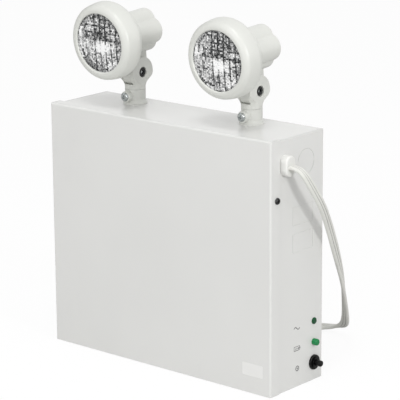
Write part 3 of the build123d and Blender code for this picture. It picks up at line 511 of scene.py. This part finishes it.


# %% [markdown]
# All these tones are painted: the white patches are painted reflections of the dish, the dark lines are painted shade,
# and the bright streaks at the rim are painted reflections.
# The tones aren't even. A wide white patch lies near the middle, where the dish throws light forwards, and another one
# low on the right. Dark upright and level lines are the steps between bands of prisms. Towards the left rim the prisms
# are seen so much from the side that each looks like a bright streak along the rim. The patches are set in a head's own
# places from -1 to 1 across the lens, and chance gives each prism its share.


# %% How bright a prism looks
def bump_at(u, v, middle_u, middle_v, half_width, half_height):
    """A soft patch that is 1 in its middle and fades out at its half width and half height."""
    return math.exp(-(((u - middle_u) / half_width) ** 2 + ((v - middle_v) / half_height) ** 2))


# How much painted reflection each patch adds, below 0 painted shade, its middle across and up, and its half width and
# half height
patches = [
    (0.55, 0.60, 0.27, 0.16, 0.07),
    (0.50, 0.58, -0.66, 0.24, 0.15),
    (0.22, -0.50, 0.60, 0.25, 0.18),
    (-0.34, 0.15, 0.22, 0.60, 0.08),
    (-0.12, 0.15, 0.60, 0.60, 0.25),
]


def tone_of(column, row, lean, chance):
    """A prism's painted tone of reflection and shade, from 0 to 1, by its place in the grid. Lean moves the patches a
    little from head to head.
    """
    u = (column + 0.5) * prism_size / lens_radius
    v = (row + 0.5) * prism_size / lens_radius
    out = math.hypot(u, v)
    level = 0.38 + 0.56 * (chance.random() - 0.5)
    level += 0.80 * bump_at(u, v, 0.20 + lean, -0.10, 0.32, 0.20)
    for strength, *patch in patches:
        level += strength * bump_at(u, v, *patch)
    # Painted shade: dark upright and level lines, for the steps between bands of prisms.
    if u > -0.2 and column % 4 == 1:
        level -= 0.45
    if v > 0.10 and row % 4 == 2:
        level -= 0.20
    # Painted reflections: bright streaks near the rim, as prisms seen from the side show them.
    if u < -0.45 or (out > 0.7 and u < 0.3 and v < 0):
        streak = random.Random(int(97 * lean) + 31 * round(out * 13) + round(math.atan2(v, u) * 2.6))
        level = 0.35 * level + 0.62 * streak.random() - 0.06
        level += 0.9 * bump_at(u, v, -0.78, 0.30, 0.06, 0.25 if lean else 0.12)
    if out > 0.90:
        level = 0.45 * level + 0.06
    return min(max(level, 0.0), 1.0)


# %% A helper that selects vertices by their place
def grab(piece, test):
    """Goes into edit mode with only the vertices that pass a test selected. The test gets a vertex's place."""
    pick(piece)
    bpy.ops.object.mode_set(mode="EDIT")
    bpy.ops.mesh.select_mode(type="VERT")
    bpy.ops.mesh.select_all(action="DESELECT")
    bpy.ops.object.mode_set(mode="OBJECT")
    for vertex in piece.data.vertices:
        vertex.select = test(vertex.co)
    bpy.ops.object.mode_set(mode="EDIT")


# %% One moulded lens for each head
def prism_lens(side):
    """A domed lens with prisms on its face, and the painted reflection tone of each prism in the attribute glint."""
    bpy.ops.object.select_all(action="DESELECT")
    bpy.ops.mesh.primitive_grid_add(
        x_subdivisions=prism_count, y_subdivisions=prism_count, size=prism_count * prism_size
    )
    lens = bpy.context.object
    lens.name = f"{side}_prism_lens"
    mesh = lens.data
    grab(lens, lambda place: place.length > lens_radius)
    bpy.ops.mesh.delete(type="VERT")
    bpy.ops.object.mode_set(mode="OBJECT")
    nearest = min(vertex.co.length for vertex in mesh.vertices)
    grab(lens, lambda place: place.length < nearest + 0.1 * mm)
    bpy.ops.transform.translate(
        value=(0, 0, lens_rise),
        use_proportional_edit=True,
        proportional_edit_falloff="INVERSE_SQUARE",
        proportional_size=lens_radius,
    )
    bpy.ops.mesh.select_mode(type="FACE")
    bpy.ops.mesh.select_all(action="SELECT")
    bpy.ops.mesh.inset(thickness=prism_margin, depth=prism_height, use_individual=True)
    bpy.ops.object.mode_set(mode="OBJECT")
    chance = random.Random(11 if side == "left" else 23)
    tones = {}
    lean = 0.0 if side == "left" else -0.10
    glint = mesh.attributes.new("glint", "FLOAT", "FACE")
    for face in mesh.polygons:
        cell = (math.floor(face.center.x / prism_size + 0.5), math.floor(face.center.y / prism_size + 0.5))
        if cell not in tones:
            tones[cell] = tone_of(*cell, lean, chance)
        glint.data[face.index].value = min(max(tones[cell] + 0.45 * (chance.random() - 0.5), 0.0), 1.0)
    wall = lens.modifiers.new("wall", "SOLIDIFY")
    wall.thickness = lens_wall
    wall.offset = -1
    pick(lens)
    bpy.ops.object.modifier_apply(modifier="wall")
    mesh.transform(head_place(side) @ Matrix.Translation((0, 0, -lens_rim_depth)))
    lens.matrix_world = Matrix.Identity(4)
    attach(lens, f"{side}_lamp")
    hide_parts(f"{side}_lens")
    return lens


# %% [markdown]
# The prisms' material is partly metal, because what shows is the aluminised dish through clear plastic. The plastic's
# own smooth face is a thin clear coat over it. The base colour is each prism's painted reflection and shade, from the
# attribute glint. A fine noise breaks each tone up, as the facets of a prism do.

# %% Polycarbonate prisms over a bright dish
prisms, place = start("prismatic_polycarbonate")
glint = add(prisms, "ShaderNodeAttribute", {"attribute_name": "glint", "attribute_type": "GEOMETRY"})
speck = add(prisms, "ShaderNodeTexNoise", {"Scale": 1 / (1.2 * mm), "Detail": 2.0}, {"Vector": place})
mixed = add(
    prisms,
    "ShaderNodeMath",
    {"operation": "MULTIPLY_ADD", 1: 0.5},
    {0: speck.outputs["Fac"], 2: glint.outputs["Fac"]},
)
sparkle = blend(prisms, mixed.outputs["Value"], "#14181A", "#FFFFFF", 0.30, 0.98)
finish(
    prisms,
    {
        "Metallic": 0.25, "Roughness": 0.3, "Specular IOR Level": 0.25,
        "Coat Weight": 0.2, "Coat Roughness": 0.05,
    },
    {"Base Color": sparkle},
)
for side in ("left", "right"):
    lens = prism_lens(side)
    lens.data.materials.clear()
    lens.data.materials.append(prisms)
    print(lens.name, "faces", len(lens.data.polygons))

# %% [markdown]
# ## Small things that the frame leaves out
#
# Both kinds of piece here are guesses, made for the look: nobody can see in the photograph whether the real joint has
# them. A dark gap between the tongue and the fork's floor would show, and the photograph has none. So a thin liner of
# the head's plastic, spun round the pivot, fills most of it. The pivot bolt's socket has a bright spot in the
# photograph. It is most likely a reflection, and a six-sided steel disc with a bevelled rim stands in for it.


# %% A finished piece for a body
def settle(piece, body, material):
    """Closes a new piece: its normals point out, its place is in its mesh, and it has a material, body and slot."""
    pick(piece)
    bpy.ops.object.transform_apply(location=True, rotation=True, scale=True)
    bpy.ops.object.mode_set(mode="EDIT")
    bpy.ops.mesh.select_all(action="SELECT")
    bpy.ops.mesh.remove_doubles(threshold=0.005 * mm)
    bpy.ops.mesh.normals_make_consistent(inside=False)
    bpy.ops.object.mode_set(mode="OBJECT")
    piece.data.materials.clear()
    piece.data.materials.append(material)
    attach(piece, body)
    print(piece.name, "faces", len(piece.data.polygons))


# %% Liners and glint discs at the pivots
tongue_radius = 15.4 * mm
liner_thickness = 0.34 * mm
liner_clearance = 0.03 * mm
liner_half_width = 6.4 * mm
liner_start = 8
glint_disc_radius = 2.1 * mm
glint_disc_thickness = 1.0 * mm
glint_disc_depth = 1.75 * mm
glint_disc_rim = 0.4 * mm
for side in ("left", "right"):
    pivot = pivot_of(side)
    bolt_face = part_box(f"{side}_pivot_bolt")[1].x
    bpy.ops.object.select_all(action="DESELECT")
    middle_radius = tongue_radius + liner_clearance + liner_thickness / 2
    bpy.ops.mesh.primitive_plane_add(size=1, location=pivot + Vector((0, -middle_radius, 0)))
    liner = bpy.context.object
    liner.name = f"{side}_tongue_liner"
    liner.scale = (2 * liner_half_width, liner_thickness, 1)
    bpy.ops.object.transform_apply(location=True, rotation=True, scale=True)
    bpy.ops.object.mode_set(mode="EDIT")
    bpy.ops.mesh.select_all(action="SELECT")
    bpy.ops.transform.rotate(value=math.radians(liner_start), orient_axis="X", center_override=pivot)
    bpy.ops.mesh.spin(steps=36, angle=math.radians(180 - 2 * liner_start), center=pivot, axis=(1, 0, 0))
    bpy.ops.object.mode_set(mode="OBJECT")
    settle(liner, f"{side}_fork", abs_white)

    # This bright zinc disc is a painted highlight, a stand-in for the reflection in the bolt's socket.
    bpy.ops.object.select_all(action="DESELECT")
    seat = Vector((bolt_face - glint_disc_depth, pivot.y, pivot.z))
    bpy.ops.mesh.primitive_cylinder_add(
        vertices=6, radius=glint_disc_radius, depth=glint_disc_thickness, location=seat, rotation=(0, math.pi / 2, 0)
    )
    glint_piece = bpy.context.object
    glint_piece.name = f"{side}_glint_disc"
    rim = glint_piece.modifiers.new("rim", "BEVEL")
    rim.width = glint_disc_rim
    rim.segments = 3
    bpy.ops.object.modifier_apply(modifier="rim")
    settle(glint_piece, f"{side}_fork", zinc)

# %% [markdown]
# The photograph shows the knockouts only as faint lines. They are taken to be punched before the cabinet is sprayed,
# so that the enamel runs into their slits and leaves a shallow groove. A bead of enamel fills each slit to 0.3 mm below
# the surface: a thin torus for the round ones, and an inset plane with its middle removed for the rectangular ones.

# %% Enamel in the knockout slits
wall_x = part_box("body_pan")[1].x
back_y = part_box("body_pan")[1].y
slit = 0.5 * mm
sunk = 0.3 * mm
bead_radius = 0.62 * slit
panel_size = (20.6 * mm, 34.6 * mm)
panel_y = 10.2 * mm
panel_heights = (189.0 * mm, 159.5 * mm)
panel_depth = 0.8 * mm
rounds = {
    "side_knockout_paint": ((wall_x, 15.2 * mm, 244.4 * mm), 14.0 * mm, (0, math.pi / 2, 0)),
    "back_knockout_paint": ((0, back_y, 138.0 * mm), 11.1 * mm, (math.pi / 2, 0, 0)),
}
for name, (spot, radius, turned) in rounds.items():
    bpy.ops.object.select_all(action="DESELECT")
    bpy.ops.mesh.primitive_torus_add(
        major_segments=72, minor_segments=8, major_radius=radius - slit / 2, minor_radius=bead_radius,
        location=spot, rotation=turned,
    )
    bead = bpy.context.object
    bead.name = name
    outwards = bead.matrix_world.to_3x3() @ Vector((0, 0, 1))
    bead.location = Vector(spot) - Vector([abs(part) for part in outwards]) * (bead_radius + sunk)
    settle(bead, "cabinet", enamel)

for number, height in enumerate(panel_heights, 1):
    bpy.ops.object.select_all(action="DESELECT")
    bpy.ops.mesh.primitive_plane_add(
        size=1, location=(wall_x - sunk, panel_y, height), rotation=(0, math.pi / 2, 0)
    )
    bead = bpy.context.object
    bead.name = f"panel_knockout_paint_{number}"
    bead.scale = (*panel_size, 1)
    bpy.ops.object.transform_apply(location=True, rotation=True, scale=True)
    bpy.ops.object.mode_set(mode="EDIT")
    bpy.ops.mesh.select_all(action="SELECT")
    bpy.ops.mesh.inset(thickness=slit + 0.1 * mm, depth=0)
    bpy.ops.mesh.delete(type="FACE")
    bpy.ops.mesh.select_all(action="SELECT")
    bpy.ops.mesh.extrude_region_move(TRANSFORM_OT_translate={"value": (-panel_depth, 0, 0)})
    bpy.ops.object.mode_set(mode="OBJECT")
    settle(bead, "cabinet", enamel)

# %% [markdown]
# ## Printed signs and a bare label
#
# A plain drawn sign stands beside each lamp and beside the test button: a wave for mains, a battery for charge, and a
# ring with a dot for press to test. They are screen printed, so they are flat strokes of dark ink. Each stroke is a
# curve with a round section, which is made a mesh and flattened. A bare film label with round corners sits low on the
# front.

# %% Screen-printed signs
ink = moulded("screen_ink", "#4A4A4B", "#545455", 1.5, 0.01, 0.5)
stroke = 0.48 * mm
flattened = 0.1
proud = 0.02 * mm


def ring_of(radius, steps):
    """Points round a circle, in millimetres."""
    angles = [2 * math.pi * n / steps for n in range(steps)]
    return [(radius * math.cos(a), radius * math.sin(a)) for a in angles]


wave = [(n * 0.5 - 5.0, 1.5 * math.sin(2 * math.pi * n / 20)) for n in range(21)]
cell_case = [(-5.0, -2.2), (4.2, -2.2), (4.2, 2.2), (-5.0, 2.2)]
signs = {
    "mains_sign": ((1.0, 65.2), [(wave, False)]),
    "charge_sign": ((1.5, 42.6), [
        (cell_case, True),
        ([(5.1, -0.9), (5.1, 0.9)], False),
        ([(-3.0, 0), (-0.8, 0)], False),
        ([(1.0, 0), (3.2, 0)], False),
        ([(2.1, -1.1), (2.1, 1.1)], False),
    ]),
    "test_sign": ((2.0, 20.2), [(ring_of(2.6, 28), True), (ring_of(0.5, 10), True)]),
}
for name, (spot, strokes) in signs.items():
    curve = bpy.data.curves.new(name, "CURVE")
    curve.dimensions = "3D"
    curve.bevel_depth = stroke
    curve.bevel_resolution = 1
    for points, closed in strokes:
        spline = curve.splines.new("POLY")
        spline.points.add(len(points) - 1)
        for control, (across, up) in zip(spline.points, points):
            control.co = (0, (spot[0] + across) * mm, (spot[1] + up) * mm, 1)
        spline.use_cyclic_u = closed
    curve.use_fill_caps = True
    sign = bpy.data.objects.new(name, curve)
    bpy.context.scene.collection.objects.link(sign)
    pick(sign)
    bpy.ops.object.convert(target="MESH")
    sign = bpy.context.object
    sign.scale = (flattened, 1, 1)
    sign.location = (wall_x + proud, 0, 0)
    settle(sign, "cabinet", ink)

# %% The bare label
front_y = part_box("front_cover")[0].y
label_middle = (131.9 * mm, front_y - 0.01 * mm, 26.2 * mm)
label_size = (27.6 * mm, 13.8 * mm)
label_stock = moulded("label_film", "#E6E6E4", "#EBEBE9", 2.0, 0.005, 0.35)
bpy.ops.object.select_all(action="DESELECT")
bpy.ops.mesh.primitive_plane_add(size=1, location=label_middle, rotation=(math.pi / 2, 0, 0))
label = bpy.context.object
label.name = "blank_label"
label.scale = (*label_size, 1)
bpy.ops.object.transform_apply(location=True, rotation=True, scale=True)
bpy.ops.object.mode_set(mode="EDIT")
bpy.ops.mesh.select_all(action="SELECT")
bpy.ops.mesh.bevel(offset=1.2 * mm, segments=4, affect="VERTICES")
bpy.ops.mesh.select_all(action="SELECT")
bpy.ops.mesh.extrude_region_move(TRANSFORM_OT_translate={"value": (0, -0.10 * mm, 0)})
bpy.ops.mesh.inset(thickness=0.5 * mm, depth=-0.03 * mm)
bpy.ops.object.mode_set(mode="OBJECT")
settle(label, "cabinet", label_stock)

# %% [markdown]
# ## The studio
#
# The photograph was taken in soft even light on white. A pale floor and a white surround do the same. The surround is
# white for the camera, for gloss and for clear plastic, and weaker for the light that it throws, so that colours
# render about as they are written. One lamp high at the front right gives the cord its shadow. A photographer hangs a
# black flag beside bright metal, so that it has something dark to reflect. The surround has one at the left that gloss
# alone sees, so gloss doesn't show a white background in that direction.

# %% Floor, surround and lamps
floor_material, place = start("pale_floor")
rays = add(floor_material, "ShaderNodeLightPath")
mottle = add(floor_material, "ShaderNodeTexNoise", {"Scale": 3.0}, {"Vector": place})
pale = blend(floor_material, mottle.outputs["Fac"], "#CBCBCA", "#D0D0CF", 0.3, 0.7)
seen = add(
    floor_material,
    "ShaderNodeMix",
    {"data_type": "RGBA", 7: (1, 1, 1, 1)},
    {0: rays.outputs["Is Camera Ray"], 6: pale},
)
lit = add(floor_material, "ShaderNodeBsdfDiffuse", links={"Color": seen.outputs[2]})
white = add(floor_material, "ShaderNodeEmission", {"Color": (1, 1, 1, 1), "Strength": 1.0})
share = add(
    floor_material, "ShaderNodeMath", {"operation": "MULTIPLY", 1: 0.9}, {0: rays.outputs["Is Camera Ray"]}
)
mix = add(
    floor_material,
    "ShaderNodeMixShader",
    links={0: share.outputs["Value"], 1: lit.outputs["BSDF"], 2: white.outputs["Emission"]},
)
add(floor_material, "ShaderNodeOutputMaterial", links={"Surface": mix.outputs["Shader"]})

bpy.ops.object.select_all(action="DESELECT")
bpy.ops.mesh.primitive_plane_add(size=30, location=(0, 0, -0.0002))
floor = bpy.context.object
floor.name = "floor"
floor.data.materials.append(floor_material)

world = bpy.data.worlds.new("white_surround")
bpy.context.scene.world = world
world.use_nodes = True
world.node_tree.nodes.clear()
rays = add(world, "ShaderNodeLightPath")
seen = add(
    world,
    "ShaderNodeMath",
    {"operation": "MAXIMUM"},
    {0: rays.outputs["Is Camera Ray"], 1: rays.outputs["Is Glossy Ray"]},
)
seen = add(
    world,
    "ShaderNodeMath",
    {"operation": "MAXIMUM"},
    {0: seen.outputs["Value"], 1: rays.outputs["Is Transmission Ray"]},
)
dim = add(world, "ShaderNodeBackground", {"Color": (1, 1, 1, 1), "Strength": 0.70})
sky = add(world, "ShaderNodeTexCoord")
flag_direction = (-0.984, 0.148, 0.098)
side_on = add(
    world,
    "ShaderNodeVectorMath",
    {"operation": "DOT_PRODUCT", 1: flag_direction},
    {0: sky.outputs["Generated"]},
)
flag = add(
    world,
    "ShaderNodeMapRange",
    {"From Min": 0.80, "From Max": 0.93, "To Min": 0.0, "To Max": 0.9},
    {"Value": side_on.outputs["Value"]},
)
flag = add(
    world,
    "ShaderNodeMath",
    {"operation": "MULTIPLY"},
    {0: flag.outputs["Result"], 1: rays.outputs["Is Glossy Ray"]},
)
white_or_flag = add(
    world,
    "ShaderNodeMix",
    {"data_type": "RGBA", 6: (1, 1, 1, 1), 7: (0.02, 0.02, 0.02, 1)},
    {0: flag.outputs["Value"]},
)
bright = add(world, "ShaderNodeBackground", {"Strength": 1.0}, {"Color": white_or_flag.outputs[2]})
mix = add(
    world,
    "ShaderNodeMixShader",
    links={0: seen.outputs["Value"], 1: dim.outputs["Background"], 2: bright.outputs["Background"]},
)
add(world, "ShaderNodeOutputWorld", links={"Surface": mix.outputs["Shader"]})


def soft_lamp(name, direction, distance, size, power):
    """A square soft lamp that looks at the object from a direction."""
    data = bpy.data.lights.new(name, "AREA")
    data.size = size
    data.energy = power
    lamp = bpy.data.objects.new(name, data)
    towards = Vector(direction).normalized()
    lamp.location = aim + towards * distance
    lamp.rotation_euler = towards.to_track_quat("Z", "Y").to_euler()
    bpy.context.scene.collection.objects.link(lamp)


aim = Vector((0, 0, 0.17))
soft_lamp("key", (1.0, -1.65, 3.95), 2.2, 0.5, 10)
soft_lamp("right_fill", (1.0, -0.25, 0.35), 2.6, 0.4, 17)
soft_lamp("front_fill", (0.1, -1.0, 0.25), 2.6, 1.6, 13)
